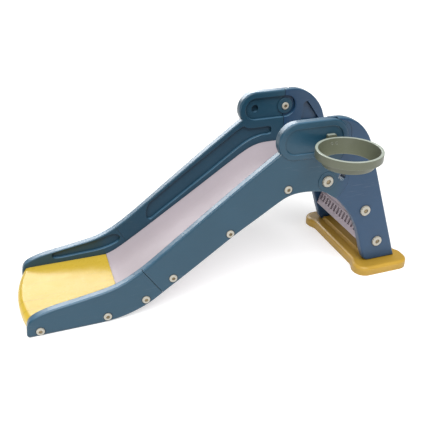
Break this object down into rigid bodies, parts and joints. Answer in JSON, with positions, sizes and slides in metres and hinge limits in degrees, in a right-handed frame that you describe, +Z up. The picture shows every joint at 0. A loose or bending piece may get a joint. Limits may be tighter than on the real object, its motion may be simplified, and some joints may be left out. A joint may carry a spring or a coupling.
{
  "type": "toddler slide",
  "caption": "Small folding slide for toddlers: moulded side rails with a two-tone chute, a hinged step ladder on a wide base, and a ball hoop on the side of its head.",
  "frame": {"origin": "on the floor, on the middle plane between the side walls, under the middle of the ladder's base", "axes": "+X from the nose of the slide towards the ladder, +Y to the right-hand side of a child who sits at the top and faces down the chute, +Z up"},
  "size_m": [1.526, 0.682, 0.6668],
  "materials": {
    "rail_blue": "dusty teal-blue moulded polyethylene, satin with a fine grain",
    "ladder_blue": "slightly bluer moulded polyethylene, satin with a fine grain",
    "chute_yellow": "warm yellow plastic, polished sliding surface",
    "lilac_grey": "pale lilac-grey plastic, smooth",
    "cap_cream": "cream caps, satin",
    "base_ochre": "ochre moulded polyethylene, satin",
    "hoop_sage": "sage green plastic, satin",
    "passivated_steel": "yellow-passivated screws and bolts, dulled brown",
    "steel": "zinc-plated screws and sleeves"
  },
  "bodies": {
    "slide": {"rail_lower_left": "rail_blue", "rail_lower_right": "rail_blue", "rail_upper_left": "rail_blue", "rail_upper_right": "rail_blue", "chute_lower": "chute_yellow", "chute_upper": "lilac_grey", "rail_caps_left": "cap_cream", "rail_caps_right": "cap_cream", "rail_screws_left": "passivated_steel", "rail_screws_right": "passivated_steel", "pivot_cap_left": "cap_cream", "pivot_cap_right": "cap_cream", "pivot_bolt_left": "passivated_steel", "pivot_bolt_right": "passivated_steel", "pivot_nut_left": "cap_cream", "pivot_nut_right": "cap_cream", "lock_insert_left": "steel", "lock_insert_right": "steel", "hoop_ring": "hoop_sage", "hoop_bracket": "hoop_sage", "hoop_screws": "hoop_sage"},
    "ladder": {"ladder_side_left": "ladder_blue", "ladder_side_right": "ladder_blue", "step_lower": "lilac_grey", "step_upper": "lilac_grey", "ladder_caps_left": "cap_cream", "ladder_caps_right": "cap_cream", "ladder_bolts_left": "passivated_steel", "ladder_bolts_right": "passivated_steel", "base": "base_ochre", "base_screws": "steel"},
    "lock_left": {"lock_disc_left": "rail_blue", "lock_knob_left": "cap_cream", "lock_bolt_left": "passivated_steel"},
    "lock_right": {"lock_disc_right": "rail_blue", "lock_knob_right": "cap_cream", "lock_bolt_right": "passivated_steel"}
  },
  "joints": [
    {"name": "ladder_fold", "type": "hinge", "parent": "slide", "child": "ladder", "pos_m": [-0.28, 0, 0.43], "axis": [0, 1, 0], "range_deg": [0, 83]},
    {"name": "lock_left_back_out", "type": "slide", "parent": "slide", "child": "lock_left", "axis": [0, 1, 0], "range_m": [0, 0.012]},
    {"name": "lock_right_back_out", "type": "slide", "parent": "slide", "child": "lock_right", "axis": [0, -1, 0], "range_m": [0, 0.012]}
  ]
}
